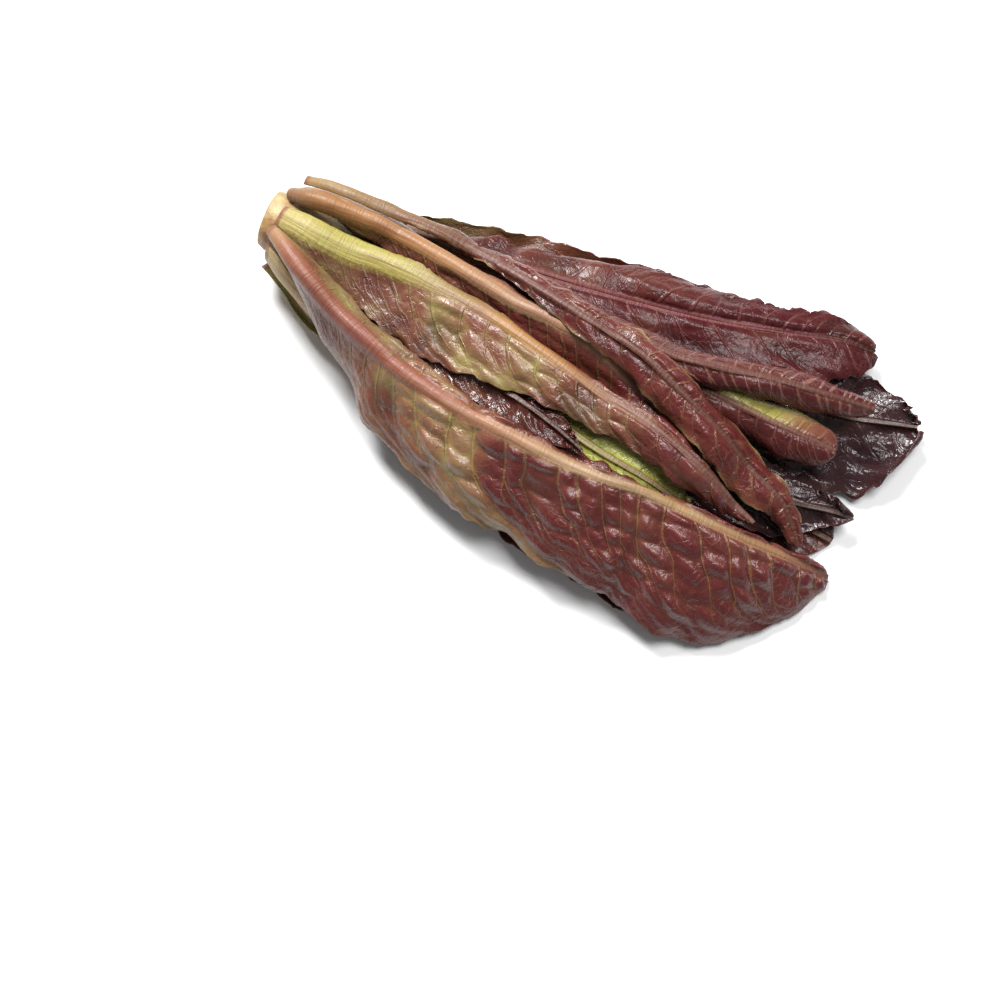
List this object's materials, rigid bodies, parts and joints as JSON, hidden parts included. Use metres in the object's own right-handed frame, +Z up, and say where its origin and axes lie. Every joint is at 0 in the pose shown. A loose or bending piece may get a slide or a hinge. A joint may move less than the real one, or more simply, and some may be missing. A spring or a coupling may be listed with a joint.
{
  "type": "red romaine lettuce head",
  "caption": "Loose elongated head of lettuce lying on its side: long wavy maroon and green leaves with thick pale ribs, laid over each other and gathered at a short cut stem.",
  "frame": {"origin": "on the ground under the middle of the head's box", "axes": "+X from the cut stem to the leaf tips, +Z up from the surface it lies on"},
  "size_m": [0.285, 0.1548, 0.0512],
  "materials": {
    "stem": "matt, moist cream flesh with a rust-coloured cut face",
    "maroon_leaf": "waxy, maroon over olive green, with a pinkish red to tan rib",
    "rose_leaf": "waxy, pinkish maroon, with a peach rib",
    "olive_leaf": "waxy, yellow-green base fading to olive and maroon",
    "dark_leaf": "glossy, dark purple-brown upper side of a leaf",
    "heart_leaf": "soft gloss, bright yellow-green with olive"
  },
  "bodies": {
    "root": {"stem": "stem", "leaf_front": "maroon_leaf", "leaf_middle": "olive_leaf", "leaf_upper": "rose_leaf", "leaf_narrow": "maroon_leaf", "leaf_rolled": "rose_leaf", "leaf_folded": "rose_leaf", "leaf_side_back": "rose_leaf", "leaf_side_front": "maroon_leaf", "leaf_shaded": "dark_leaf", "leaf_heart_top": "heart_leaf", "leaf_heart_front": "heart_leaf", "leaf_heart_back": "heart_leaf", "leaf_dark_broad": "dark_leaf", "leaf_dark_pointed": "dark_leaf", "leaf_inner_front": "olive_leaf", "leaf_inner_back": "olive_leaf", "leaf_under_middle": "maroon_leaf", "leaf_under_front": "maroon_leaf", "leaf_under_back": "maroon_leaf"}
  },
  "joints": []
}
